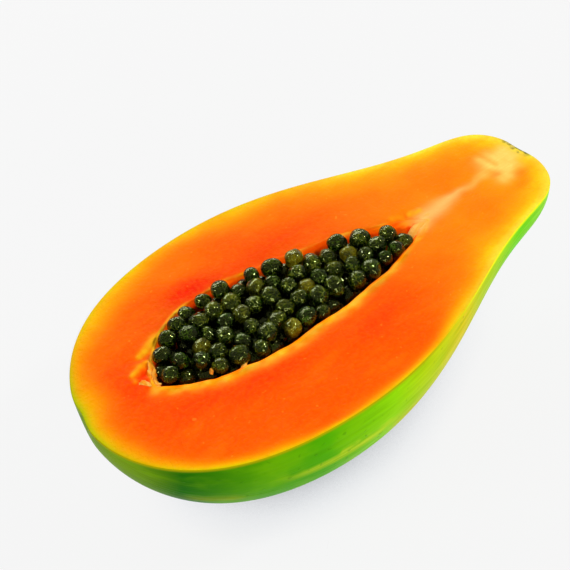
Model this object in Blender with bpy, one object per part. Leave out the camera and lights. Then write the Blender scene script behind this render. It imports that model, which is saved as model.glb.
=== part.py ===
"""Half of a ripe papaya, cut lengthwise, lying on its back with its seeds in the open cavity.

Units are metres and +Z is up. The fruit is drawn in its cut frame: X runs from the blossom tip to the stem
tip, Y goes across, and the knife's plane is Z = 0 with the skin below it. An empty then tips that frame to
the angle at which the half balances on its small flat spot, and sets the spot on Z = 0.
"""

import math
import random

import bmesh
import bpy
import numpy as np
from mathutils import Matrix, Vector
from mathutils.bvhtree import BVHTree

# Driving dimensions of the fruit, in its cut frame
LENGTH = 0.190
DEPTH_TO_HALF_WIDTH = 1.10
# How far the skin swells out past the cut's outline, below it and towards the blossom tip
UNDER_SWELL = 0.0018
# A fuller shoulder beside the blossom tip: how much, where, how narrow, and how fast it fades below the cut
SHOULDER = 0.0022
SHOULDER_AIM = math.radians(206)
SHOULDER_SHARPNESS = 12
SHOULDER_FADE = 3
# Distance from the blossom tip and half-width of the cut face there
GIRTH_STATIONS = (
    (0.006, 0.0217),
    (0.024, 0.0402),
    (0.048, 0.0498),
    (0.074, 0.0517),
    (0.100, 0.0490),
    (0.124, 0.0412),
    (0.146, 0.0313),
    (0.166, 0.0259),
    (0.184, 0.0183),
)
GIRTH_WAVES = 6
LOBES = 5
LOBE_RISE = 0.012
LOBE_TURN = math.radians(54)

# Scars of the flower and the stalk, as shallow dents: centre, reach and depth
BLOSSOM_SCAR = ((0.0, 0.007, -0.003), 0.0055, 0.0014)
STEM_SCAR = ((LENGTH, 0.002, -0.002), 0.0060, 0.0012)

# Driving dimensions of the seed cavity
CAVITY_START = 0.0255
CAVITY_END = 0.1385
CAVITY_DEPTH_TO_HALF_WIDTH = 1.15
CAVITY_SQUARENESS = 2.6
CAVITY_RIBS = 5
CAVITY_RIB_DEPTH = 0.035
# Distance from the blossom tip, and the two edges of the mouth there
MOUTH_STATIONS = (
    (0.0300, -0.0030, 0.0095),
    (0.0400, -0.0078, 0.0195),
    (0.0550, -0.0128, 0.0222),
    (0.0720, -0.0140, 0.0208),
    (0.0900, -0.0130, 0.0178),
    (0.1060, -0.0118, 0.0138),
    (0.1200, -0.0092, 0.0070),
    (0.1310, -0.0050, 0.0020),
)
MOUTH_WAVES = 5

# The heap of seeds
SEED_COUNT = 114
SEED_RADIUS = (0.0027, 0.0036)
SEED_STRETCH = (1.10, 1.0, 0.94)
SEED_DRAW = 23
# How far a seed's centre may lie below the core's top, and above it as a share of the seed's radius
SEED_SINK = 0.0014
SEED_PERCH = 0.88
SEED_CLOSENESS = 0.97
SEED_STEPS = 90
SEED_SIDES = 6
SEED_RINGS = 5
WALL_GAP = 0.0005
CORE_SHRINK = 0.95
CORE_TOP = -0.0028
CORE_SLOPE = 0.07

# How the half lies
REST_TIP = math.radians(4.5)
FLAT_SPOT_DEPTH = 0.0006

# Mesh fineness, and the angles past which an edge is drawn sharp
FRUIT_SIDES = 84
FRUIT_RINGS = 32
CAVITY_SIDES = 60
CAVITY_RINGS = 19
CORE_SIDES = 36
CORE_RINGS = 11
FRUIT_EDGE = math.radians(35)
SEED_EDGE = math.radians(50)
TINY = 1e-6

# Name, base colour and roughness
FLESH = ("papaya_flesh", (1.0, 0.17, 0.008), 0.42)
SKIN = ("papaya_skin", (0.16, 0.42, 0.012), 0.38)
SEED = ("papaya_seed", (0.022, 0.034, 0.010), 0.22)


def clear_scene():
    for thing in list(bpy.data.objects):
        bpy.data.objects.remove(thing)


def new_collection(name):
    group = bpy.data.collections.new(name)
    bpy.context.scene.collection.children.link(group)
    return group


def new_material(name, colour, roughness):
    material = bpy.data.materials.new(name)
    material.use_nodes = True
    shader = material.node_tree.nodes["Principled BSDF"]
    shader.inputs["Base Color"].default_value = (*colour, 1.0)
    shader.inputs["Roughness"].default_value = roughness
    shader.inputs["Metallic"].default_value = 0.0
    return material


def wave_fit(places, values, start, end, waves):
    """Cosine weights of a smooth curve through values at places between start and end."""
    angles = np.arccos(1 - 2 * (np.array(places) - start) / (end - start))
    table = np.cos(np.outer(angles, np.arange(waves)))
    return [float(w) for w in np.linalg.lstsq(table, values, rcond=None)[0]]


def wave_value(weights, angle):
    return sum(w * math.cos(n * angle) for n, w in enumerate(weights))


def rounding(place, start, end):
    """Height of a unit half circle over a place between its two ends."""
    share = (place - start) / (end - start)
    return 2 * math.sqrt(share * (1 - share))


def girth_weights():
    """Weights of the fruit's half-width, as a share of a half circle's."""
    places = [x for x, _ in GIRTH_STATIONS]
    values = [w / rounding(x, 0, LENGTH) for x, w in GIRTH_STATIONS]
    return wave_fit(places, values, 0, LENGTH, GIRTH_WAVES)


def mouth_weights():
    """Weights of the mouth's half-width, as a share of a half circle's, and of its middle line."""
    places = [x for x, _, _ in MOUTH_STATIONS]
    halves = [(far - near) / 2 / rounding(x, CAVITY_START, CAVITY_END) for x, near, far in MOUTH_STATIONS]
    middles = [(far + near) / 2 for _, near, far in MOUTH_STATIONS]
    span = (CAVITY_START, CAVITY_END, MOUTH_WAVES)
    return wave_fit(places, halves, *span), wave_fit(places, middles, *span)


def dented(point, scar):
    """The point pushed towards the fruit's middle by a shallow round dent."""
    centre, reach, depth = scar
    away = (point - Vector(centre)).length / reach
    inward = (Vector((LENGTH / 2, 0, 0)) - point).normalized()
    return point + inward * (depth * math.exp(-away * away))


def swelling(direction):
    """How far the skin stands out past its plain lobed form, level with the cut."""
    level = max(math.hypot(direction.x, direction.y), TINY)
    lean = (direction.x * math.cos(SHOULDER_AIM) + direction.y * math.sin(SHOULDER_AIM)) / level
    shoulder = SHOULDER * ((1 + lean) / 2) ** SHOULDER_SHARPNESS * (1 + SHOULDER_FADE * direction.z)
    return shoulder + UNDER_SWELL * (1 - direction.x / level) * -direction.z


def fruit_point(direction, weights):
    """Where a unit direction meets the skin."""
    along = max(-1.0, min(1.0, direction.x))
    girth = wave_value(weights, math.acos(-along))
    turn = math.atan2(direction.z, direction.y)
    lobed = 1 + LOBE_RISE * (1 - along) / 2 * math.sin(LOBES * turn + LOBE_TURN)
    swell = swelling(direction)
    point = Vector((
        LENGTH / 2 * (1 + along) + swell * direction.x,
        (girth * lobed + swell) * direction.y,
        girth * lobed * direction.z * DEPTH_TO_HALF_WIDTH,
    ))
    for scar in (BLOSSOM_SCAR, STEM_SCAR):
        point = dented(point, scar)
    return point


def cavity_point(direction, weights, shrink=1.0):
    """Where a unit direction meets the cavity's wall, shrunk by a share towards the cavity's middle."""
    halves, middles = weights
    along = max(-1.0, min(1.0, direction.x))
    angle = math.acos(-along)
    turn = math.atan2(direction.z, direction.y)
    level, drop = abs(math.cos(turn)), abs(math.sin(turn))
    squared = (level**CAVITY_SQUARENESS + drop**CAVITY_SQUARENESS) ** (-1 / CAVITY_SQUARENESS)
    ribbed = 1 - CAVITY_RIB_DEPTH * drop * (1 + math.cos(CAVITY_RIBS * turn))
    reach = wave_value(halves, angle) * squared * ribbed * shrink
    return Vector((
        (CAVITY_START + CAVITY_END) / 2 + (CAVITY_END - CAVITY_START) / 2 * along * shrink,
        wave_value(middles, angle) + reach * direction.y,
        reach * direction.z * CAVITY_DEPTH_TO_HALF_WIDTH,
    ))


def slice_off(mesh, point, normal):
    """Cuts away what lies beyond a plane, and closes the cut with a flat face."""
    geometry = mesh.verts[:] + mesh.edges[:] + mesh.faces[:]
    cut = bmesh.ops.bisect_plane(mesh, geom=geometry, plane_co=point, plane_no=normal, clear_outer=True)
    rim = [edge for edge in cut["geom_cut"] if isinstance(edge, bmesh.types.BMEdge)]
    bmesh.ops.contextual_create(mesh, geom=rim)


def floor_plane(mesh):
    """A point and the outward normal of the flat spot, in the cut frame."""
    down = Vector((math.sin(REST_TIP), 0, -math.cos(REST_TIP)))
    lowest = max((v.co for v in mesh.verts), key=lambda co: co.dot(down))
    return lowest - down * FLAT_SPOT_DEPTH, down


def add_object(name, mesh, group, materials):
    data = bpy.data.meshes.new(name)
    bmesh.ops.recalc_face_normals(mesh, faces=mesh.faces)
    mesh.to_mesh(data)
    mesh.free()
    for material in materials:
        data.materials.append(material)
    thing = bpy.data.objects.new(name, data)
    group.objects.link(thing)
    return thing


def unit_sphere(sides, rings):
    mesh = bmesh.new()
    bmesh.ops.create_uvsphere(mesh, u_segments=sides, v_segments=rings, radius=1)
    return mesh


def cavity_mesh(mouth, sides, rings, shrink=1.0):
    """The cavity as a closed solid, with its upper half above the knife's plane."""
    mesh = unit_sphere(sides, rings)
    for vert in mesh.verts:
        vert.co = cavity_point(vert.co, mouth, shrink)
    bmesh.ops.recalc_face_normals(mesh, faces=mesh.faces)
    return mesh


def shade(thing, sharp_from):
    thing.data.shade_smooth()
    thing.data.set_sharp_from_angle(angle=sharp_from)


def apply_modifiers(thing):
    """Replaces the object's mesh with its evaluated mesh."""
    bpy.context.view_layer.update()
    evaluated = thing.evaluated_get(bpy.context.evaluated_depsgraph_get())
    made = bpy.data.meshes.new_from_object(evaluated)
    thing.modifiers.clear()
    thing.data = made


def build_fruit(group, cutters, flesh, skin, mouth):
    """Flesh and skin, grown as one: a half sphere drawn out to the fruit, with the cavity scooped out."""
    weights = girth_weights()
    mesh = unit_sphere(FRUIT_SIDES, FRUIT_RINGS)
    slice_off(mesh, (0, 0, 0), (0, 0, 1))
    for vert in mesh.verts:
        vert.co = fruit_point(vert.co, weights)
    slice_off(mesh, *floor_plane(mesh))
    for face in mesh.faces:
        face.material_index = 0 if face.calc_center_median().z > -TINY else 1
    fruit = add_object("fruit", mesh, group, (flesh, skin))

    mesh = cavity_mesh(mouth, CAVITY_SIDES, CAVITY_RINGS)
    hollow = add_object("cavity_cutter", mesh, cutters, (flesh,))
    hollow.hide_render = True
    hollow.display_type = "WIRE"

    scoop = fruit.modifiers.new("seed_cavity", "BOOLEAN")
    scoop.operation = "DIFFERENCE"
    scoop.object = hollow
    shade(fruit, FRUIT_EDGE)
    return fruit, hollow


def inside_wall(seed, wall):
    """Moves a seed away from the cavity's wall as far as the gap between them asks, and says if it moved."""
    centre = Vector(seed[:3])
    nearest, outward, _, _ = wall.find_nearest(centre)
    room = seed[3] * max(SEED_STRETCH) + WALL_GAP
    short = room - (nearest - centre).dot(outward)
    if short > 0:
        seed[:3] = centre - outward * short
    return short > 0


def seed_heights(y, radius):
    """The lowest and highest place of a seed's centre, so that it shows and is rooted in the core."""
    top = CORE_TOP + CORE_SLOPE * y
    return top - SEED_SINK, top + SEED_PERCH * radius


def seed_places(wall):
    """Centre and radius of each seed, places drawn in the mouth, pushed apart until they lie side by side."""
    draw = random.Random(SEED_DRAW)
    widest = max(far for _, _, far in MOUTH_STATIONS)
    seeds = []
    while len(seeds) < SEED_COUNT:
        x, y = draw.uniform(CAVITY_START, CAVITY_END), draw.uniform(-widest, widest)
        radius = draw.uniform(*SEED_RADIUS)
        seed = [x, y, draw.uniform(*seed_heights(y, radius)), radius]
        if not inside_wall(list(seed), wall):
            seeds.append(seed)
    for _ in range(SEED_STEPS):
        push_apart(seeds)
        for seed in seeds:
            lowest, highest = seed_heights(seed[1], seed[3])
            seed[2] = min(highest, max(lowest, seed[2]))
            inside_wall(seed, wall)
    return seeds


def push_apart(seeds):
    """Moves every pair of seeds that press into each other apart by half of the excess each."""
    for n, one in enumerate(seeds):
        for other in seeds[n + 1 :]:
            gap = [other[k] - one[k] for k in range(3)]
            apart = math.sqrt(sum(g * g for g in gap))
            wanted = (one[3] + other[3]) * SEED_CLOSENESS
            if apart >= wanted:
                continue
            share = (wanted - apart) / 2 / max(apart, TINY)
            for k in range(3):
                one[k] -= gap[k] * share
                other[k] += gap[k] * share


def build_seeds(group, cutters, material, mouth):
    """The heap of seeds: each stands out of a low core that fills the cavity beneath them."""
    mesh = cavity_mesh(mouth, CAVITY_SIDES, CAVITY_RINGS)
    wall = BVHTree.FromBMesh(mesh)
    mesh.free()
    mesh = cavity_mesh(mouth, CORE_SIDES, CORE_RINGS, CORE_SHRINK)
    slice_off(mesh, (0, 0, CORE_TOP), (0, -CORE_SLOPE, 1))
    heap = add_object("seeds", mesh, group, (material,))

    draw = random.Random(SEED_DRAW)
    loose = bpy.data.collections.new("loose_seeds")
    cutters.children.link(loose)
    for x, y, z, radius in seed_places(wall):
        turn = Matrix.Rotation(draw.uniform(0, math.tau), 4, Vector([draw.gauss(0, 1) for _ in range(3)]))
        size = Matrix.Diagonal((*(radius * s for s in SEED_STRETCH), 1.0))
        mesh = unit_sphere(SEED_SIDES, SEED_RINGS)
        mesh.transform(Matrix.Translation((x, y, z)) @ turn @ size)
        add_object("loose_seed", mesh, loose, (material,))

    fuse = heap.modifiers.new("fused_seeds", "BOOLEAN")
    fuse.operation = "UNION"
    fuse.operand_type = "COLLECTION"
    fuse.collection = loose
    apply_modifiers(heap)
    for thing in list(loose.objects):
        bpy.data.objects.remove(thing)
    shade(heap, SEED_EDGE)
    return heap


def lay_down(fruit, carried, group):
    """Tips the cut frame to its balance, and puts the origin on the floor under the middle of the half."""
    rest = bpy.data.objects.new("papaya_rest", None)
    group.objects.link(rest)
    rest.rotation_euler = (0, REST_TIP, 0)
    turn = Matrix.Rotation(REST_TIP, 4, "Y")
    corners = [turn @ v.co for v in fruit.data.vertices]
    middle_x = (min(c.x for c in corners) + max(c.x for c in corners)) / 2
    middle_y = (min(c.y for c in corners) + max(c.y for c in corners)) / 2
    rest.location = (-middle_x, -middle_y, -min(c.z for c in corners))
    for piece in (fruit, *carried):
        piece.parent = rest


def main():
    clear_scene()
    group = new_collection("papaya_half")
    cutters = new_collection("cutters")
    flesh, skin, seed = new_material(*FLESH), new_material(*SKIN), new_material(*SEED)
    mouth = mouth_weights()
    fruit, hollow = build_fruit(group, cutters, flesh, skin, mouth)
    seeds = build_seeds(group, cutters, seed, mouth)
    lay_down(fruit, (hollow, seeds), group)


main()
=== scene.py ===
"""Looks of a halved papaya: moist orange flesh, green skin, and wet seeds heaped in the cavity.

Everything is drawn in the cut frame, in metres: X from the blossom tip to the stem tip, Y across, and the
knife's plane at Z = 0 with the skin below. laid_down() takes points from there to where the half rests.
"""

import math
import random

import bmesh
import bpy
import numpy as np
from mathutils import Matrix, Vector
from mathutils.bvhtree import BVHTree


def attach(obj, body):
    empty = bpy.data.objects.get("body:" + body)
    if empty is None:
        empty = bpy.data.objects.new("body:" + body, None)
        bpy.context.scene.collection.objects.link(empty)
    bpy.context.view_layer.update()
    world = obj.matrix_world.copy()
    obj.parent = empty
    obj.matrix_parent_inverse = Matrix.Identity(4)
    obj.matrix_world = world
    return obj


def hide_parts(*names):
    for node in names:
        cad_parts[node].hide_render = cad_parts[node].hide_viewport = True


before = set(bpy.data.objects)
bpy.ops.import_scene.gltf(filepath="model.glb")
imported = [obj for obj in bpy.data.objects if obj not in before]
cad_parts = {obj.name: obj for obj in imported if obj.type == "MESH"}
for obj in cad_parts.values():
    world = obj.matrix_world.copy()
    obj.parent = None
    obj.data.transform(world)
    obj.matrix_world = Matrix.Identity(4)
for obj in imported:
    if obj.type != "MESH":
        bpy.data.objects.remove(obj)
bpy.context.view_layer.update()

# The fruit, the same as in the part's source
LENGTH = 0.190
DEPTH_TO_HALF_WIDTH = 1.10
UNDER_SWELL = 0.0018
SHOULDER = 0.0022
SHOULDER_AIM = math.radians(206)
SHOULDER_SHARPNESS = 12
SHOULDER_FADE = 3
GIRTH_STATIONS = (
    (0.006, 0.0217),
    (0.024, 0.0402),
    (0.048, 0.0498),
    (0.074, 0.0517),
    (0.100, 0.0490),
    (0.124, 0.0412),
    (0.146, 0.0313),
    (0.166, 0.0259),
    (0.184, 0.0183),
)
GIRTH_WAVES = 6
LOBES = 5
LOBE_RISE = 0.012
LOBE_TURN = math.radians(54)
BLOSSOM_SCAR = ((0.0, 0.007, -0.003), 0.0055, 0.0014)
STEM_SCAR = ((LENGTH, 0.002, -0.002), 0.0060, 0.0012)
CAVITY_START = 0.0255
CAVITY_END = 0.1385
CAVITY_DEPTH_TO_HALF_WIDTH = 1.15
CAVITY_SQUARENESS = 2.6
CAVITY_RIBS = 5
CAVITY_RIB_DEPTH = 0.035
MOUTH_STATIONS = (
    (0.0300, -0.0030, 0.0095),
    (0.0400, -0.0078, 0.0195),
    (0.0550, -0.0128, 0.0222),
    (0.0720, -0.0140, 0.0208),
    (0.0900, -0.0130, 0.0178),
    (0.1060, -0.0118, 0.0138),
    (0.1200, -0.0092, 0.0070),
    (0.1310, -0.0050, 0.0020),
)
MOUTH_WAVES = 5
SEED_COUNT = 114
SEED_RADIUS = (0.0027, 0.0036)
SEED_STRETCH = (1.10, 1.0, 0.94)
SEED_DRAW = 23
SEED_SINK = 0.0014
SEED_PERCH = 0.88
SEED_CLOSENESS = 0.97
SEED_STEPS = 90
WALL_GAP = 0.0005
WALL_SIDES = 60
WALL_RINGS = 19
CORE_TOP = -0.0028
CORE_SLOPE = 0.07
TINY = 1e-6

# How the half rests
REST_TIP = math.radians(4.5)
REST_PLACE = np.array((-0.093843, -0.000219, 0.062233))

# The camera in the cut frame
LENS = 85
EYE = (-0.095611, -0.259883, 0.319587)
LOOK = (0.39378, 0.588954, -0.705741)
UP = (0.494386, 0.51157, 0.702765)

# How bright the studio lights a white surface that lies level, and one on the fruit's side
FACE_LIGHT = 1.15
SIDE_LIGHT = 0.92

# Fineness of the fruit's mesh
COLUMNS = 640
WALL_STEPS = 30
LIP_STEPS = 9
FACE_STEPS = 96
EDGE_STEPS = 4
SKIN_STEPS = 100


def linear(red, green, blue, light=1.0):
    """The linear colour of a surface that shows on the screen as these values, 0 to 255, under a light."""
    shares = [c / 255 for c in (red, green, blue)]
    return (*((s / 12.92 if s <= 0.04045 else ((s + 0.055) / 1.055) ** 2.4) / light for s in shares), 1.0)


def on_face(red, green, blue):
    return linear(red, green, blue, FACE_LIGHT)


def on_side(red, green, blue):
    return linear(red, green, blue, SIDE_LIGHT)


def laid_down(points):
    """Points of the cut frame, tipped and set on the floor as the half rests."""
    cos, sin = math.cos(REST_TIP), math.sin(REST_TIP)
    turn = np.array(((cos, 0, sin), (0, 1, 0), (-sin, 0, cos)))
    placed = np.asarray(points) @ turn.T + REST_PLACE
    placed[..., 2] = np.maximum(placed[..., 2], 0)
    return placed


def ripple(points, span, seed, waves=16):
    """Smooth seeded noise over points, of about unit height, with bumps about span apart."""
    draw = np.random.default_rng(seed)
    heading = draw.normal(size=(waves, 3))
    heading /= np.linalg.norm(heading, axis=1, keepdims=True)
    pitch = math.tau / (span * draw.uniform(0.7, 1.7, waves))
    phase = draw.uniform(0, math.tau, waves)
    swing = np.sin(np.asarray(points) @ (heading * pitch[:, None]).T + phase)
    return swing.sum(-1) / math.sqrt(waves / 2)


def patch(points, centre, reach):
    """A soft spot: 1 at its centre in X and Y, and fading over its reach in each."""
    away = ((points[..., 0] - centre[0]) / reach[0]) ** 2 + ((points[..., 1] - centre[1]) / reach[1]) ** 2
    return np.exp(-away)


def smooth_step(values, low, high):
    share = np.clip((values - low) / (high - low), 0, 1)
    return share * share * (3 - 2 * share)


# Form of the fruit and its cavity


def wave_fit(places, values, start, end, waves):
    angles = np.arccos(1 - 2 * (np.array(places) - start) / (end - start))
    table = np.cos(np.outer(angles, np.arange(waves)))
    return np.linalg.lstsq(table, values, rcond=None)[0]


def wave_value(weights, angle):
    return sum(w * np.cos(n * angle) for n, w in enumerate(weights))


def rounding(place, start, end):
    share = (place - start) / (end - start)
    return 2 * math.sqrt(share * (1 - share))


GIRTH = wave_fit(
    [x for x, _ in GIRTH_STATIONS],
    [w / rounding(x, 0, LENGTH) for x, w in GIRTH_STATIONS],
    0,
    LENGTH,
    GIRTH_WAVES,
)
MOUTH_HALF = wave_fit(
    [x for x, _, _ in MOUTH_STATIONS],
    [(far - near) / 2 / rounding(x, CAVITY_START, CAVITY_END) for x, near, far in MOUTH_STATIONS],
    CAVITY_START,
    CAVITY_END,
    MOUTH_WAVES,
)
MOUTH_MIDDLE = wave_fit(
    [x for x, _, _ in MOUTH_STATIONS],
    [(far + near) / 2 for _, near, far in MOUTH_STATIONS],
    CAVITY_START,
    CAVITY_END,
    MOUTH_WAVES,
)


def headings(around, below):
    """Unit directions at angles around the cut plane and below it."""
    around, below = np.broadcast_arrays(around, below)
    return np.stack(
        (np.cos(around) * np.cos(below), np.sin(around) * np.cos(below), -np.sin(below)), axis=-1
    )


def swelling(directions):
    """How far the skin stands out past its plain lobed form, level with the cut."""
    x, y, z = np.moveaxis(directions, -1, 0)
    level = np.maximum(np.hypot(x, y), TINY)
    lean = (x * math.cos(SHOULDER_AIM) + y * math.sin(SHOULDER_AIM)) / level
    shoulder = SHOULDER * ((1 + lean) / 2) ** SHOULDER_SHARPNESS * (1 + SHOULDER_FADE * z)
    return shoulder + UNDER_SWELL * (1 - x / level) * -z


def skin_points(directions):
    along = np.clip(directions[..., 0], -1, 1)
    girth = wave_value(GIRTH, np.arccos(-along))
    turn = np.arctan2(directions[..., 2], directions[..., 1])
    lobed = 1 + LOBE_RISE * (1 - along) / 2 * np.sin(LOBES * turn + LOBE_TURN)
    swell = swelling(directions)
    points = np.stack(
        (
            LENGTH / 2 * (1 + along) + swell * directions[..., 0],
            (girth * lobed + swell) * directions[..., 1],
            girth * lobed * directions[..., 2] * DEPTH_TO_HALF_WIDTH,
        ),
        axis=-1,
    )
    for centre, reach, depth in (BLOSSOM_SCAR, STEM_SCAR):
        away = np.linalg.norm(points - centre, axis=-1, keepdims=True) / reach
        inward = np.array((LENGTH / 2, 0, 0)) - points
        inward /= np.linalg.norm(inward, axis=-1, keepdims=True)
        points = points + inward * depth * np.exp(-away * away)
    return points


def cavity_points(directions, shrink=1.0):
    along = np.clip(directions[..., 0], -1, 1)
    angle = np.arccos(-along)
    turn = np.arctan2(directions[..., 2], directions[..., 1])
    level, drop = np.abs(np.cos(turn)), np.abs(np.sin(turn))
    squared = (level**CAVITY_SQUARENESS + drop**CAVITY_SQUARENESS) ** (-1 / CAVITY_SQUARENESS)
    ribbed = 1 - CAVITY_RIB_DEPTH * drop * (1 + np.cos(CAVITY_RIBS * turn))
    reach = wave_value(MOUTH_HALF, angle) * squared * ribbed * shrink
    return np.stack(
        (
            (CAVITY_START + CAVITY_END) / 2 + (CAVITY_END - CAVITY_START) / 2 * along * shrink,
            wave_value(MOUTH_MIDDLE, angle) + reach * directions[..., 1],
            reach * directions[..., 2] * CAVITY_DEPTH_TO_HALF_WIDTH,
        ),
        axis=-1,
    )


def outward_in_plane(outline):
    """Unit normals of a closed outline in the cut plane, pointing out of it."""
    run = np.roll(outline, -1, axis=0) - np.roll(outline, 1, axis=0)
    normals = np.stack((run[:, 1], -run[:, 0], np.zeros(len(run))), axis=-1)
    return normals / np.linalg.norm(normals, axis=1, keepdims=True)


# Meshes


def add_piece(name, points, faces, materials, nodes, attributes=None, face_materials=None):
    """A smooth-shaded piece of the fruit that rides on its body and stands for CAD nodes."""
    mesh = bpy.data.meshes.new(name)
    mesh.from_pydata(points.tolist(), [], faces)
    for material in materials:
        mesh.materials.append(material)
    for label, values in (attributes or {}).items():
        kind = "FLOAT_VECTOR" if values.ndim == 2 else "FLOAT"
        layer = mesh.attributes.new(label, kind, "POINT")
        layer.data.foreach_set("vector" if values.ndim == 2 else "value", values.astype(np.float32).ravel())
    if face_materials is not None:
        mesh.polygons.foreach_set("material_index", face_materials)
    mesh.shade_smooth()
    mesh.update()
    piece = bpy.data.objects.new(name, mesh)
    bpy.context.scene.collection.objects.link(piece)
    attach(piece, "root")
    if nodes:
        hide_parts(*nodes)
    return piece


def ring_faces(rings, columns):
    """Quads between rings of points, with a fan to a single point at each end."""
    first, last = 0, 1 + rings * columns
    faces = [(first, 1 + (j + 1) % columns, 1 + j) for j in range(columns)]
    for i in range(rings - 1):
        low, high = 1 + i * columns, 1 + (i + 1) * columns
        faces += [(low + j, low + (j + 1) % columns, high + (j + 1) % columns, high + j) for j in range(columns)]
    base = last - columns
    faces += [(last, base + j, base + (j + 1) % columns) for j in range(columns)]
    return faces


# Width of the rounded lip between the cavity's wall and the cut face
NEAR_LIP = 0.0016
FAR_LIP = 0.0006
# Places where the lip was nicked or torn: centre in the cut plane, and how far it bites into the flesh
NICKS = (
    ((0.0415, -0.0075), 0.0022, 0.0006),
    ((0.0510, -0.0125), 0.0030, -0.0005),
    ((0.0690, 0.0215), 0.0035, 0.0006),
    ((0.0865, 0.0190), 0.0045, 0.0008),
    ((0.1080, 0.0140), 0.0030, 0.0006),
    ((0.1300, -0.0060), 0.0065, 0.0018),
    ((0.1320, 0.0030), 0.0065, 0.0030),
)
# The torn pulp at the blossom end of the mouth: centre and reach
TORN = ((0.0258, 0.0070), (0.0040, 0.0080))
# Dips of the cut face beside the mouth: centre, reach and depth
DIPS = (
    ((0.1325, 0.0035), (0.0060, 0.0026), 0.0010),
    ((0.0250, 0.0070), (0.0022, 0.0026), 0.0009),
)
# Yellow ridges torn up in the flesh: start, end, half-width at each, height and strength of colour
RIDGES = (
    ((0.0278, 0.0144), (0.0368, 0.0170), (0.0011, 0.0022), 0.0003, 0.95),
    ((0.0214, 0.0090), (0.0252, 0.0106), (0.0010, 0.0013), 0.0004, 0.75),
    ((0.0252, 0.0106), (0.0286, 0.0100), (0.0013, 0.0012), 0.0004, 0.80),
    ((0.0212, 0.0088), (0.0208, 0.0064), (0.0010, 0.0008), 0.0002, 0.45),
    ((0.1372, 0.0036), (0.1398, 0.0026), (0.0015, 0.0014), 0.0002, 0.90),
    ((0.1305, 0.0060), (0.1340, 0.0047), (0.0014, 0.0011), 0.0001, 0.50),
)


def mouth_middle(x):
    share = np.clip((x - CAVITY_START) / (CAVITY_END - CAVITY_START), 0, 1)
    return wave_value(MOUTH_MIDDLE, np.arccos(1 - 2 * share))


def mouth_outline(around):
    """The mouth's edge in the cut plane, a little uneven, with its nicks, and the way out of it."""
    mouth = cavity_points(headings(around, 0.0))
    outward = outward_in_plane(mouth)
    push = 0.00014 * ripple(mouth, 0.012, 3) + 0.00005 * ripple(mouth, 0.004, 4)
    push = push + 0.0005 * patch(mouth, *TORN) * ripple(mouth, 0.0045, 8)
    for centre, reach, bite in NICKS:
        push = push + bite * patch(mouth, centre, (reach, reach))
    return mouth + outward * push[:, None], outward


def dip(points):
    return sum(depth * patch(points, centre, reach) for centre, reach, depth in DIPS)


def ridge(points, start, end, widths):
    """1 along a line in X and Y, and fading beside it over a half-width that changes from start to end."""
    start, run = np.array(start), np.array(end) - np.array(start)
    share = np.clip((points[..., :2] - start) @ run / (run @ run), 0, 1)
    away = np.linalg.norm(points[..., :2] - start - share[..., None] * run, axis=-1)
    return np.exp(-((away / (widths[0] + (widths[1] - widths[0]) * share)) ** 2))


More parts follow.
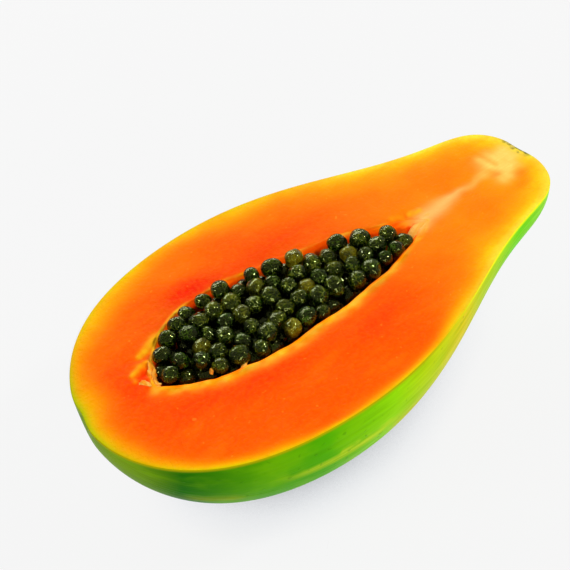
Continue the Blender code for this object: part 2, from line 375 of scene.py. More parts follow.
def fruit_half(flesh, skin):
    """One closed mesh: cavity floor, wall, soft lip, cut face, thin edge and skin, ring by ring."""
    around = math.tau * np.arange(COLUMNS) / COLUMNS
    up = np.array((0, 0, 1.0))
    mouth, mouth_out = mouth_outline(around)
    outline = skin_points(headings(around, 0.0))
    outline_out = outward_in_plane(outline)

    near_side = smooth_step(-mouth_out[:, 1], -0.1, 0.7) * (1 - smooth_step(mouth[:, 0], 0.118, 0.134))
    mouth = mouth - up * (0.0005 * near_side + dip(mouth))[:, None]
    lip = (FAR_LIP + (NEAR_LIP - FAR_LIP) * near_side) * (1 + 0.20 * ripple(mouth, 0.012, 5))
    lip = lip * (0.12 + 0.88 * smooth_step(CAVITY_END - mouth[:, 0], 0.0010, 0.0240))
    edge = 0.00035

    rings, from_mouth, from_skin = [], [], []

    def add_ring(ring, inner, outer):
        rings.append(ring)
        from_mouth.append(np.broadcast_to(inner * 1000, COLUMNS))
        from_skin.append(np.broadcast_to(outer * 1000, COLUMNS))

    # Wall, from the floor up to the foot of the lip
    half = wave_value(MOUTH_HALF, np.arccos(-np.clip(np.cos(around), -1, 1)))
    foot = np.arcsin(np.clip(lip / (CAVITY_DEPTH_TO_HALF_WIDTH * half), 0, 0.9))
    slip = mouth - up * lip[:, None] - cavity_points(headings(around, foot))
    for rise in np.linspace(0, 1, WALL_STEPS + 1)[1:]:
        below = foot + (math.pi / 2 - foot) * (1 - rise) ** 1.5
        ring = cavity_points(headings(around, below)) + slip * math.exp(-8 * (1 - rise))
        rough = 0.00025 * ripple(ring, 0.0035, 21) + 0.00020 * ripple(ring, 0.0014, 22)
        ring = ring - mouth_out * (rough * smooth_step(below, 0.05, 0.3) * np.cos(below))[:, None]
        add_ring(ring, ring[:, 2], 0.040)

    # Lip, an arc from the wall to the cut face
    for lift in np.linspace(0, math.pi / 2, LIP_STEPS + 1)[1:]:
        ring = mouth + lip[:, None] * (mouth_out * (1 - math.cos(lift)) - up * (1 - math.sin(lift)))
        add_ring(ring, ring[:, 2], 0.040)

    # Cut face, from the lip to the edge
    start = (mouth + mouth_out * lip[:, None]) * (1, 1, 0)
    end = outline - outline_out * edge
    width = np.linalg.norm(end - start, axis=1)
    start_level = -0.0005 * near_side - dip(mouth)
    for step in np.linspace(0, 1, FACE_STEPS + 1)[1:]:
        share = 0.5 * step + 0.25 * (1 - math.cos(math.pi * step))
        ring = start + (end - start) * share
        inner, outer = width * share, width * (1 - share)
        level = 0.00010 * ripple(ring, 0.016, 6) + 0.00003 * ripple(ring, 0.004, 7)
        level = level + 0.0003 * patch(ring, *TORN) * ripple(ring, 0.0036, 9)
        level = level + sum(height * ridge(ring, *line) for *line, height, _ in RIDGES)
        level = level + 0.00030 * fibre_mask(ring) * smooth_step(ring[:, 0], 0.150, 0.175)
        level = level * np.clip(outer / 0.003, 0, 1) * smooth_step(inner, 0.0, 0.0008)
        blend = np.exp(-inner / 0.0012)
        level = level - 0.0005 * near_side * np.exp(-inner / 0.0050) * (1 - blend) - dip(ring) * (1 - blend)
        ring[:, 2] = level + start_level * blend
        add_ring(ring, inner, outer)

    # Thin rounded edge where the knife left the skin
    for lift in np.linspace(0, math.pi / 2, EDGE_STEPS + 1)[1:]:
        ring = outline - edge * (outline_out * (1 - math.sin(lift)) + up * (1 - math.cos(lift)))
        add_ring(ring, width, ring[:, 2])
    first_skin_ring = len(rings) - EDGE_STEPS // 2

    # Skin, down to the lowest point
    girth = wave_value(GIRTH, np.arccos(-np.clip(np.cos(around), -1, 1)))
    foot = np.arcsin(np.clip(edge / (DEPTH_TO_HALF_WIDTH * girth), 0, 0.9))
    slip = rings[-1] - skin_points(headings(around, foot))
    for drop in np.linspace(0, 1, SKIN_STEPS + 2)[1:-1]:
        below = foot + (math.pi / 2 - foot) * (0.6 * drop + 0.4 * drop**2)
        ring = skin_points(headings(around, below)) + slip * math.exp(-30 * drop)
        add_ring(ring + outline_out * stem_cork(ring)[:, None], width, ring[:, 2])

    floor_point = cavity_points(headings(0.0, math.pi / 2))[None, :]
    lowest_point = skin_points(headings(0.0, math.pi / 2))[None, :]
    points = np.concatenate((floor_point, *rings, lowest_point))
    from_mouth = np.concatenate(([-25.0], *from_mouth, [60.0]))
    from_skin = np.concatenate(([40.0], *from_skin, [-60.0]))
    faces = ring_faces(len(rings), COLUMNS)
    skin_faces = np.arange(len(faces)) >= COLUMNS * first_skin_ring
    return add_piece(
        "papaya_flesh_and_skin",
        laid_down(points),
        faces,
        (flesh, skin),
        ("fruit",),
        fruit_masks(points, from_mouth, from_skin),
        skin_faces.astype(np.int32),
    )


# The corky scar of the stalk, on the skin at the neck's tip: centre and reach
STALK = (LENGTH, 0.0028, -0.0020)
STALK_REACH = 0.0070


def stalk_mask(points):
    away = np.linalg.norm(points - np.array(STALK), axis=-1) / STALK_REACH
    return np.clip(np.exp(-(away**4)) * (1 + 0.25 * ripple(points, 0.0030, 14)), 0, 1)


def stem_cork(points):
    """How far the cork of the stalk's scar stands out or is broken away."""
    return stalk_mask(points) * (0.00034 * ripple(points, 0.0022, 15) + 0.00018 * ripple(points, 0.0009, 16))


def cork_mask(points, from_skin):
    """The stalk's cork: all over its scar, and on the cut face only a thin ragged line under the skin."""
    reach = np.maximum(1.0 + 0.6 * ripple(points, 0.0024, 20), 0.3)
    return stalk_mask(points) * np.exp(-((np.maximum(from_skin, 0) / reach) ** 2))


# Where the photograph shows redder flesh: centre, reach and strength, in the cut plane
RED_PATCHES = (
    ((0.034, -0.015), (0.016, 0.006), 0.60),
    ((0.054, -0.021), (0.016, 0.005), 0.7),
    ((0.058, 0.0285), (0.011, 0.0045), 1.0),
    ((0.094, -0.027), (0.017, 0.007), 0.6),
    ((0.019, 0.005), (0.007, 0.012), 0.65),
    ((0.085, 0.025), (0.030, 0.004), 0.5),
    ((0.131, 0.0040), (0.0070, 0.0016), 0.8),
    ((0.0250, 0.0072), (0.0018, 0.0022), 0.8),
    ((0.176, -0.0125), (0.006, 0.003), 0.4),
    ((0.1795, -0.0082), (0.0036, 0.0026), 0.45),
    ((0.1728, -0.0028), (0.0022, 0.0014), 0.35),
)

def fruit_masks(points, from_mouth, from_skin):
    """Named layers over the fruit, which its two materials read."""
    x, y = points[:, 0], points[:, 1]
    share = x / LENGTH
    near = smooth_step(-y, -0.004, 0.012)
    neck = smooth_step(share, 0.51, 0.80)
    # How far the yellow under the skin reaches in, in millimetres
    blossom_end = patch(points, (0.0, 0.004), (0.026, 0.040))
    yellow = 8.8 - 0.8 * blossom_end - near * (6.9 - 5.2 * blossom_end) + (0.6 + 9.0 * near) * neck
    yellow = yellow * (1 + 0.16 * ripple(points, 0.020, 10))
    red = sum(strength * patch(points, centre, reach) for centre, reach, strength in RED_PATCHES)
    turn = np.arctan2(points[:, 2] / DEPTH_TO_HALF_WIDTH, y)
    return {
        "from_mouth": from_mouth,
        "from_skin": from_skin,
        "ripeness": 1 - np.exp(-((np.maximum(from_skin, 0) / yellow) ** 1.4)),
        "red": np.clip(red, 0, 1),
        "neck": neck,
        "fibre": fibre_mask(points),
        "membrane": membrane_mask(points, from_mouth),
        "yellow": yellow_mask(points),
        "unripe": patch(points, (0.001, 0.008), (0.012, 0.024)) * np.exp(-np.maximum(from_skin, 0) / 1.5),
        "stalk": cork_mask(points, from_skin),
        "lengthwise": share,
        "turn": np.degrees(turn),
        "skin_place": np.stack((x, turn * 0.05, np.zeros_like(x)), axis=-1),
    }


def yellow_mask(points):
    lines = np.max([strength * ridge(points, *line) for *line, _, strength in RIDGES], axis=0)
    return np.clip(lines * (0.95 + 0.20 * ripple(points, 0.0030, 19)), 0, 1)


def membrane_mask(points, from_mouth):
    """Pale inner skin left on the lip: broad on the near side, thin on the far side and there only in part."""
    x, y = points[:, 0], points[:, 1]
    near = smooth_step(mouth_middle(x) - y, -0.001, 0.004)
    near_strength = 0.9 - 0.55 * smooth_step(x, 0.112, 0.134)
    far_strength = 0.95 - 0.70 * smooth_step(x, 0.060, 0.078) + 0.35 * ripple(points, 0.010, 17)
    strength = np.clip(near * near_strength + (1 - near) * far_strength, 0, 1)
    reach = 0.6 + 2.4 * near * near_strength
    face = np.exp(-((np.maximum(from_mouth, 0) / reach) ** 2))
    wall = smooth_step(from_mouth, -3.2, -1.4)
    return strength * face * wall * (0.85 + 0.15 * ripple(points, 0.004, 18))


# The pale strand from the cavity's tip towards the stem: place, middle and half-width, and its forks
STRAND = (
    (0.1330, -0.0030, 0.0030),
    (0.1400, -0.0014, 0.0034),
    (0.1480, -0.0010, 0.0030),
    (0.1570, -0.0002, 0.0016),
    (0.1640, -0.0002, 0.0012),
    (0.1690, 0.0006, 0.0024),
)
FORKS = (
    ((0.1758, 0.0012), (0.0050, 0.0036), 1.0),
    ((0.1828, 0.0036), (0.0050, 0.0044), 1.0),
    ((0.1800, -0.0026), (0.0042, 0.0030), 1.0),
    ((0.1742, -0.0060), (0.0034, 0.0026), 0.9),
    ((0.1755, 0.0074), (0.0042, 0.0022), 0.55),
)


def fibre_mask(points):
    x, y = points[:, 0], points[:, 1]
    places, middles, widths = (np.array(column) for column in zip(*STRAND))
    middle = np.interp(x, places, middles) + 0.0003 * ripple(points, 0.009, 13)
    width = np.interp(x, places, widths)
    along = smooth_step(x, places[0] - 0.003, places[0]) * (1 - smooth_step(x, places[-1], places[-1] + 0.004))
    strand = along * np.exp(-(((y - middle) / width) ** 2)) * (1 - 0.60 * smooth_step(x, 0.150, 0.164))
    forks = sum(strength * patch(points, centre, reach) for centre, reach, strength in FORKS)
    return np.clip(strand + forks * (0.95 + 0.22 * ripple(points, 0.0045, 12)), 0, 1)


# Shreds of torn pulp: place, length, width, height, heading in degrees, and how pale
SHREDS = (
    ((0.0272, 0.0058, -0.0010), 0.0074, 0.0024, 0.0026, 243, 0.60),
    ((0.0257, 0.0012, -0.0008), 0.0030, 0.0018, 0.0014, 300, 0.8),
    ((0.0227, 0.0034, -0.0006), 0.0044, 0.0024, 0.0017, 291, 0.65),
    ((0.0416, -0.0064, -0.0008), 0.0022, 0.0012, 0.0016, 60, 0.5),
    ((0.0512, -0.0115, -0.0010), 0.0032, 0.0011, 0.0010, 20, 0.7),
    ((0.0530, -0.0040, -0.0004), 0.0019, 0.0014, 0.0011, 30, 0.35),
    ((0.0665, 0.0202, -0.0016), 0.0030, 0.0010, 0.0012, 340, 0.6),
    ((0.1110, 0.0105, -0.0012), 0.0024, 0.0009, 0.0010, 330, 0.4),
)


def torn_pulp(material):
    """Small ragged shreds of pulp that the seeds pulled loose along the lip."""
    ball_points, ball_faces = ball(4)
    points, faces, pale = [], [], []
    for number, (centre, length, width, height, heading, paleness) in enumerate(SHREDS):
        ragged = 1 + 0.20 * ripple(ball_points, 1.1, 300 + number, 10) + 0.07 * ripple(ball_points, 0.4, 340 + number, 10)
        taper = 1 - 0.35 * ball_points[:, :1]
        shred = ball_points * ragged[:, None] * np.array((length / 2, width / 2, height / 2))
        shred[:, 1:] *= taper
        shred[:, 2] += 0.25 * height * (2 * shred[:, 0] / length) ** 2
        cos, sin = math.cos(math.radians(heading)), math.sin(math.radians(heading))
        turn = np.array(((cos, -sin, 0), (sin, cos, 0), (0, 0, 1)))
        faces.append(ball_faces + number * len(ball_points))
        points.append(shred @ turn.T + np.array(centre))
        pale.append(np.clip(paleness * (1 + 0.35 * ripple(ball_points, 0.9, 380 + number, 8)), 0, 1))
    return add_piece(
        "torn_pulp",
        laid_down(np.concatenate(points)),
        np.concatenate(faces).tolist(),
        (material,),
        ("fruit",),
        {"pale": np.concatenate(pale)},
    )


# The pale tongue that runs from the strand down the cavity's end wall: its two ends, and how it drops
TONGUE_START = (0.1440, -0.0004)
TONGUE_END = (0.1272, -0.0056)
TONGUE_DROP = 0.0040
TONGUE_HALF_WIDTH = 0.0027
TONGUE_HALF_THICKNESS = 0.0011
TONGUE_RINGS = 44
TONGUE_SIDES = 60


def end_tongue(material):
    """A flat grooved tongue of pale fibres, sunk in the face at its start and free over the wall."""
    share = np.linspace(0, 1, TONGUE_RINGS)
    start, end = np.array(TONGUE_START), np.array(TONGUE_END)
    path = np.zeros((TONGUE_RINGS, 3))
    path[:, :2] = start + (end - start) * share[:, None]
    path[:, 1] += 0.0006 * np.sin(math.pi * share)
    path[:, 2] = -0.0007 - TONGUE_DROP * share**1.8
    run = np.gradient(path, axis=0)
    run /= np.linalg.norm(run, axis=1, keepdims=True)
    side = np.cross(run, (0, 0, 1.0))
    side /= np.linalg.norm(side, axis=1, keepdims=True)
    rise = np.cross(side, run)
    taper = np.sqrt(np.clip(1 - (2 * share - 1) ** 4, 0, 1))[:, None]
    around = math.tau * np.arange(TONGUE_SIDES)[None, :] / TONGUE_SIDES
    grooves = 0.5 + 0.5 * np.cos(9 * around + 2.5 * share[:, None]) * np.cos(5 * around - 1.5 * share[:, None])
    thick = TONGUE_HALF_THICKNESS * taper * np.sin(around) * (0.82 + 0.18 * grooves)
    wide = TONGUE_HALF_WIDTH * taper * np.cos(around)
    rings = path[:, None] + side[:, None] * wide[..., None] + rise[:, None] * thick[..., None]
    points = np.concatenate((path[:1], rings[1:-1].reshape(-1, 3), path[-1:]))
    pale = (0.72 + 0.28 * grooves[1:-1]) * np.clip(1.25 - 0.45 * share[1:-1, None], 0, 1)
    return add_piece(
        "end_tongue",
        laid_down(points),
        ring_faces(TONGUE_RINGS - 2, TONGUE_SIDES),
        (material,),
        ("fruit",),
        {"pale": np.concatenate(([1.0], pale.ravel(), [0.5]))},
    )


# Seeds, placed by the same rule and draw as in the part's source


def unit_sphere(sides, rings):
    mesh = bmesh.new()
    bmesh.ops.create_uvsphere(mesh, u_segments=sides, v_segments=rings, radius=1)
    return mesh


def cavity_wall():
    mesh = unit_sphere(WALL_SIDES, WALL_RINGS)
    placed = cavity_points(np.array([v.co for v in mesh.verts]))
    for vert, place in zip(mesh.verts, placed):
        vert.co = place
    bmesh.ops.recalc_face_normals(mesh, faces=mesh.faces)
    wall = BVHTree.FromBMesh(mesh)
    mesh.free()
    return wall


def inside_wall(seed, wall):
    centre = Vector(seed[:3])
    nearest, outward, _, _ = wall.find_nearest(centre)
    room = seed[3] * max(SEED_STRETCH) + WALL_GAP
    short = room - (nearest - centre).dot(outward)
    if short > 0:
        seed[:3] = centre - outward * short
    return short > 0


def seed_heights(y, radius):
    top = CORE_TOP + CORE_SLOPE * y
    return top - SEED_SINK, top + SEED_PERCH * radius


def push_apart(seeds):
    for n, one in enumerate(seeds):
        for other in seeds[n + 1 :]:
            gap = [other[k] - one[k] for k in range(3)]
            apart = math.sqrt(sum(g * g for g in gap))
            wanted = (one[3] + other[3]) * SEED_CLOSENESS
            if apart >= wanted:
                continue
            share = (wanted - apart) / 2 / max(apart, TINY)
            for k in range(3):
                one[k] -= gap[k] * share
                other[k] += gap[k] * share


def seed_places(wall, count, seed_draw, lower=0.0):
    """Centre and radius of each seed of a layer that lies lower than the top one by a depth."""
    draw = random.Random(seed_draw)
    widest = max(far for _, _, far in MOUTH_STATIONS)
    seeds = []
    while len(seeds) < count:
        x, y = draw.uniform(CAVITY_START, CAVITY_END), draw.uniform(-widest, widest)
        radius = draw.uniform(*SEED_RADIUS)
        lowest, highest = seed_heights(y, radius)
        seed = [x, y, draw.uniform(lowest, highest) - lower, radius]
        if not inside_wall(list(seed), wall):
            seeds.append(seed)
    for _ in range(SEED_STEPS):
        push_apart(seeds)
        for seed in seeds:
            lowest, highest = seed_heights(seed[1], seed[3])
            seed[2] = min(highest - lower, max(lowest - lower, seed[2]))
            inside_wall(seed, wall)
    return seeds


def ball(subdivisions):
    """Points and faces of a round unit ball."""
    mesh = bmesh.new()
    bmesh.ops.create_icosphere(mesh, subdivisions=subdivisions, radius=1)
    points = np.array([v.co for v in mesh.verts])
    faces = np.array([[v.index for v in face.verts] for face in mesh.faces])
    mesh.free()
    return points, faces


def seed_turns(count, seed_draw):
    draw = random.Random(seed_draw)
    turns = []
    for _ in range(count):
        angle = draw.uniform(0, math.tau)
        axis = Vector([draw.gauss(0, 1) for _ in range(3)])
        turns.append(np.array(Matrix.Rotation(angle, 3, axis)))
    return turns


# A second, deeper layer of seeds closes the gaps of the first
DEEP_SEEDS = 96
DEEP_BELOW = 0.0050
SETTLING_STEPS = 8
KERNEL_SIZE = 0.82
KERNEL_WRINKLE = 0.18
BED_TOP = -0.0090
# Direction of the painted light that lightens each kernel's upper back side
PAINTED_LIGHT_DIRECTION = (0.33, 0.35, 0.88)


def moved(seed):
    """The heap as it settled: low and near at the neck end, and pressed to the far wall and the blossom end."""
    x, y, z, radius = seed
    neck_end = smooth_step(x, 0.119, 0.127) * smooth_step(y, -0.008, 0.0)
    x, y, z = x - 0.0036 * neck_end, y - 0.0028 * neck_end, z - 0.0014 * neck_end
    mouth_half = wave_value(MOUTH_HALF, np.arccos(1 - 2 * (x - CAVITY_START) / (CAVITY_END - CAVITY_START)))
    to_far_wall = mouth_middle(x) + mouth_half - y - radius
    far_row = (1 - smooth_step(to_far_wall, 0.0005, 0.0040)) * smooth_step(x, 0.034, 0.042)
    far_row = far_row * (1 - smooth_step(x, 0.110, 0.120))
    blossom_row = 1 - smooth_step(x, 0.032, 0.044)
    x = x - 0.0021 * blossom_row
    y = y + 0.0004 * far_row + 0.0011 * blossom_row
    return [x, y, z + 0.0010 * far_row + 0.0006 * blossom_row, radius]


def seed_heap(gel, kernel, bed):
    """Each seed is a wrinkled kernel in a clear skin of gel, over a bed of pulp painted near-black as the shade
    between the seeds.
    """
    wall = cavity_wall()
    top = [moved(seed) for seed in seed_places(wall, SEED_COUNT, SEED_DRAW)]
    for _ in range(SETTLING_STEPS):
        push_apart(top)
    deep = seed_places(wall, DEEP_SEEDS, SEED_DRAW + 1, DEEP_BELOW)
    turns = seed_turns(SEED_COUNT, SEED_DRAW) + seed_turns(DEEP_SEEDS, SEED_DRAW + 1)
    smooth_points, smooth_faces = ball(4)
    fine_points, fine_faces = ball(5)
    gels, kernels, tints, painted_lit = [], [], [], []
    draw = np.random.default_rng(SEED_DRAW)
    for number, ((x, y, z, radius), turn) in enumerate(zip(top + deep, turns)):
        size = radius * np.array(SEED_STRETCH)
        centre = np.array((x, y, z))
        tints.append(draw.uniform())
        # Painted shade: a seed that lies lower in the heap gets a darker kernel, for the shade between the seeds
        # above it
        painted_lit.append(np.clip(1 - (seed_heights(y, radius)[1] - z) / 0.0052, 0, 1))

        lumps = 1 + 0.030 * ripple(smooth_points, 1.2, 100 + number, 8)
        gels.append(smooth_points * np.minimum(lumps, 1.04)[:, None] * size @ turn.T + centre)

        ridges = np.clip(np.abs(ripple(fine_points, 0.50, 500 + number, 12)), 0, 1)
        dents = 1 - KERNEL_WRINKLE * (1 - ridges) ** 2
        kernels.append(fine_points * dents[:, None] * size * KERNEL_SIZE @ turn.T + centre)
    for name, bodies, body_faces, material in (
        ("seed_gel", gels, smooth_faces, gel),
        ("seed_kernels", kernels, fine_faces, kernel),
    ):
        count = len(bodies[0])
        add_piece(
            name,
            laid_down(np.concatenate(bodies)),
            np.concatenate([body_faces + n * count for n in range(len(bodies))]).tolist(),
            (material,),
            ("seeds",),
            {"seed_tint": np.repeat(tints, count), "seed_painted_lit": np.repeat(painted_lit, count)},
        )
    seed_bed(bed)


def seed_bed(material):
    """Wet pulp that fills the cavity under the seeds, painted near-black as the shade that falls between them."""
    columns, steps = 160, 40
    around = math.tau * np.arange(columns) / columns
    rings = []
    for step in range(steps):
        below = math.pi / 2 * (1 - (step + 1) / steps) + 0.02
        rings.append(cavity_points(headings(around, below), 0.965))
    shell = np.stack(rings)
    top = BED_TOP + 0.0010 * ripple(shell, 0.005, 31)
    shell[..., 2] = np.minimum(shell[..., 2], top)
    rim = shell[-1]
    middle = np.array(((CAVITY_START + CAVITY_END) / 2, 0.003, BED_TOP))
    lids = [middle + (rim - middle) * share for share in np.linspace(0.97, 0.03, 30)]
    for lid in lids:
        lid[:, 2] = BED_TOP + 0.0012 * ripple(lid, 0.005, 31)
    rings = [*shell, *lids]
    points = np.concatenate((shell[0].mean(0)[None, :], *rings, middle[None, :]))
    return add_piece("seed_bed", laid_down(points), ring_faces(len(rings), columns), (material,), ("seeds",))


# Materials


def place(tree, kind, options=None, **sockets):
    """Adds a shader node, sets its options, and sets or joins its named sockets."""
    node = tree.nodes.new(kind)
    for label, value in (options or {}).items():
        setattr(node, label, value)
    for label, value in sockets.items():
        socket = node.inputs[label.replace("_", " ")]
        if isinstance(value, bpy.types.NodeSocket):
            tree.links.new(value, socket)
        else:
            socket.default_value = value
    return node


def layer(tree, name, vector=False):
    node = place(tree, "ShaderNodeAttribute", {"attribute_name": name})
    return node.outputs["Vector" if vector else "Fac"]


def fade(tree, value, low, high, start=0.0, end=1.0):
    """The value's way from low to high, as a smooth way from start to end."""
    node = place(tree, "ShaderNodeMapRange", {"interpolation_type": "SMOOTHSTEP"}, Value=value)
    for label, number in (("From Min", low), ("From Max", high), ("To Min", start), ("To Max", end)):
        node.inputs[label].default_value = number
    return node.outputs["Result"]


def reckon(tree, operation, first, second, clamp=False):
    node = tree.nodes.new("ShaderNodeMath")
    node.operation = operation
    node.use_clamp = clamp
    for socket, value in zip(node.inputs, (first, second)):
        if isinstance(value, bpy.types.NodeSocket):
            tree.links.new(value, socket)
        else:
            socket.default_value = value
    return node.outputs[0]


def cover(tree, mask, under, over):
    """The colour over laid on the colour under, where the mask says."""
    node = tree.nodes.new("ShaderNodeMix")
    node.data_type = "RGBA"
    for index, value in ((0, mask), (6, under), (7, over)):
        if isinstance(value, bpy.types.NodeSocket):
            tree.links.new(value, node.inputs[index])
        else:
            node.inputs[index].default_value = value
    return node.outputs[2]


def ramp(tree, value, stops):
    node = place(tree, "ShaderNodeValToRGB", Fac=value)
    elements = node.color_ramp.elements
    while len(elements) < len(stops):
        elements.new(0.5)
    for element, (position, colour) in zip(elements, stops):
        element.position = position
        element.color = colour
    return node.outputs["Color"]


def new_group(name, inputs, outputs):
    group = bpy.data.node_groups.new(name, "ShaderNodeTree")
    for label, kind, default in inputs:
        socket = group.interface.new_socket(label, in_out="INPUT", socket_type=kind)
        if default is not None:
            socket.default_value = default
    for label, kind in outputs:
        group.interface.new_socket(label, in_out="OUTPUT", socket_type=kind)
    return group, group.nodes.new("NodeGroupInput").outputs, group.nodes.new("NodeGroupOutput").inputs


def mottling_group():
    """Soft cloudy patches of a given size: a mask from a little before low to a little after high."""
    group, given, made = new_group(
        "cloudy_mottling",
        (
            ("Place", "NodeSocketVector", None),
            ("Patches per Metre", "NodeSocketFloat", 100.0),
            ("Low", "NodeSocketFloat", 0.4),
            ("High", "NodeSocketFloat", 0.6),
            ("Detail", "NodeSocketFloat", 3.0),
        ),
        (("Mask", "NodeSocketFloat"),),
    )
    noise = place(group, "ShaderNodeTexNoise", Vector=given[0], Scale=given[1], Detail=given[4])
    spread = place(
        group,
        "ShaderNodeMapRange",
        {"interpolation_type": "SMOOTHSTEP"},
        Value=noise.outputs["Fac"],
        From_Min=given[2],
        From_Max=given[3],
    )
    group.links.new(spread.outputs["Result"], made[0])
    return group


def mottling(tree, group, where, patches, low, high, detail=3.0):
    node = place(tree, "ShaderNodeGroup", {"node_tree": group}, Place=where, Patches_per_Metre=patches)
    node.inputs["Low"].default_value = low
    node.inputs["High"].default_value = high
    node.inputs["Detail"].default_value = detail
    return node.outputs["Mask"]


def cork_group():
    """Dark cork with small pale patches, laid over a colour where a mask says."""
    group, given, made = new_group(
        "stalk_cork",
        (
            ("Under", "NodeSocketColor", None),
            ("Mask", "NodeSocketFloat", 0.0),
            ("Place", "NodeSocketVector", None),
            ("Dark", "NodeSocketColor", None),
            ("Pale", "NodeSocketColor", None),
        ),
        (("Colour", "NodeSocketColor"),),
    )
    noise = place(group, "ShaderNodeTexNoise", Vector=given[2], Scale=900.0, Detail=3.0)
    patches = fade(group, noise.outputs["Fac"], 0.42, 0.62)
    cork = cover(group, patches, given[3], given[4])
    group.links.new(cover(group, given[1], given[0], cork), made[0])
    return group


def corky(tree, group, under, dark, pale):
    where = place(tree, "ShaderNodeTexCoord").outputs["Object"]
    node = place(tree, "ShaderNodeGroup", {"node_tree": group}, Under=under, Place=where, Dark=dark, Pale=pale)
    tree.links.new(layer(tree, "stalk"), node.inputs["Mask"])
    return node.outputs["Colour"]


def stretched(tree, where, scale):
    node = place(tree, "ShaderNodeMapping", {"vector_type": "POINT"}, Vector=where)
    node.inputs["Scale"].default_value = scale
    return node.outputs["Vector"]


def relief(tree, height, depth, onto=None):
    node = place(tree, "ShaderNodeBump", Height=height)
    node.inputs["Distance"].default_value = depth
    node.inputs["Strength"].default_value = 1.0
    if onto is not None:
        tree.links.new(onto, node.inputs["Normal"])
    return node.outputs["Normal"]


def new_finish(name, **constants):
    material = bpy.data.materials.new(name)
    material.use_nodes = True
    shader = material.node_tree.nodes["Principled BSDF"]
    for label, value in constants.items():
        shader.inputs[label.replace("_", " ")].default_value = value
    return material, material.node_tree, shader


def tame_gloss(shader, level, tint):
    """A weak gloss in the surface's own colour, as on wet pulp or waxy skin in soft light."""
    shader.inputs["Specular IOR Level"].default_value = level
    shader.inputs["Specular Tint"].default_value = tint


def share_of(tree, mask, amount):
    return reckon(tree, "MULTIPLY", mask, amount)


def flesh_finish(mottle, cork):
    """Ripe flesh: yellow under the skin, orange further in, redder by the cavity, pale on its lip."""
    material, tree, shader = new_finish("ripe_flesh", Roughness=0.42)
    tame_gloss(shader, 0.025, (1.0, 0.45, 0.05, 1))
    where = place(tree, "ShaderNodeTexCoord").outputs["Object"]
    from_mouth, ripeness = layer(tree, "from_mouth"), layer(tree, "ripeness")
    lengthwise = layer(tree, "lengthwise")
    colour = ramp(
        tree,
        ripeness,
        (
            (0.00, on_face(232, 204, 6)),
            (0.08, on_face(250, 190, 3)),
            (0.30, on_face(254, 162, 2)),
            (0.58, on_face(254, 126, 2)),
            (0.84, on_face(255, 98, 1)),
            (1.00, on_face(255, 87, 0)),
        ),
    )
    neck_colour = ramp(
        tree,
        ripeness,
        (
            (0.00, on_face(244, 236, 60)),
            (0.20, on_face(254, 206, 20)),
            (0.50, on_face(254, 174, 12)),
            (1.00, on_face(255, 140, 12)),
        ),
    )
    colour = cover(tree, layer(tree, "neck"), colour, neck_colour)
    clouds = mottling(tree, mottle, where, 60.0, 0.35, 0.70)
    wisps = mottling(tree, mottle, stretched(tree, where, (0.35, 1.0, 1.0)), 160.0, 0.48, 0.72, 4.0)
    colour = cover(tree, share_of(tree, clouds, 0.30), colour, on_face(255, 78, 0))
    colour = cover(tree, share_of(tree, wisps, 0.24), colour, on_face(254, 134, 8))
    red = reckon(tree, "MULTIPLY", layer(tree, "red"), fade(tree, clouds, 0.0, 1.0, 0.80, 1.0), True)
    colour = cover(tree, red, colour, on_face(255, 34, 0))
    grain = mottling(tree, mottle, where, 700.0, 0.30, 0.72, 4.0)
    colour = cover(tree, share_of(tree, grain, 0.14), colour, on_face(255, 138, 10))
    # Painted glints: small pale specks stand in for light caught on the wet cells
    painted_glints = mottling(tree, mottle, where, 520.0, 0.71, 0.80, 1.0)
    colour = cover(tree, share_of(tree, painted_glints, 0.30), colour, on_face(255, 170, 50))
    colour = cover(tree, layer(tree, "unripe"), colour, on_face(172, 188, 4))
    fibres = mottling(tree, mottle, stretched(tree, where, (0.12, 1.0, 1.0)), 900.0, 0.42, 0.70, 2.0)
    fibre = reckon(tree, "MULTIPLY", layer(tree, "fibre"), fade(tree, fibres, 0.0, 1.0, 0.88, 1.0), True)
    fibre_colour = cover(tree, fade(tree, lengthwise, 0.80, 0.92), on_face(255, 192, 104), on_face(255, 214, 104))
    colour = cover(tree, fibre, colour, fibre_colour)
    lip_lights = mottling(tree, mottle, where, 240.0, 0.35, 0.65, 3.0)
    lip_colour = cover(tree, lip_lights, on_face(254, 180, 8), on_face(255, 206, 52))
    colour = cover(tree, layer(tree, "membrane"), colour, lip_colour)
    colour = cover(tree, layer(tree, "yellow"), colour, on_face(255, 178, 20))
    colour = corky(tree, cork, colour, on_face(74, 84, 34), on_face(196, 176, 96))
    wall_colour = cover(tree, lip_lights, on_face(250, 70, 0), on_face(255, 116, 8))
    colour = cover(tree, fade(tree, from_mouth, -2.6, -0.9, 1.0, 0.0), colour, wall_colour)
    # Painted shade: the wall turns dark red deeper down in the cavity
    colour = cover(tree, fade(tree, from_mouth, -9.0, -4.0, 1.0, 0.0), colour, on_face(120, 26, 0))
    tree.links.new(colour, shader.inputs["Base Color"])
    # Painted glow: emission on the wall under the thin lip stands in for light that comes through it
    painted_glow = reckon(tree, "MULTIPLY", fade(tree, from_mouth, -4.5, -1.2), fade(tree, from_mouth, -0.6, 0.0, 1.0, 0.0))
    tree.links.new(cover(tree, painted_glow, (0, 0, 0, 1), linear(190, 50, 0)), shader.inputs["Emission Color"])
    shader.inputs["Emission Strength"].default_value = 1.0
    normal = relief(tree, grain, 0.00012)
    normal = relief(tree, mottling(tree, mottle, where, 2500.0, 0.2, 0.8, 3.0), 0.00005, normal)
    tree.links.new(normal, shader.inputs["Normal"])
    tree.links.new(fade(tree, grain, 0.0, 1.0, 0.46, 0.32), shader.inputs["Roughness"])
    return material


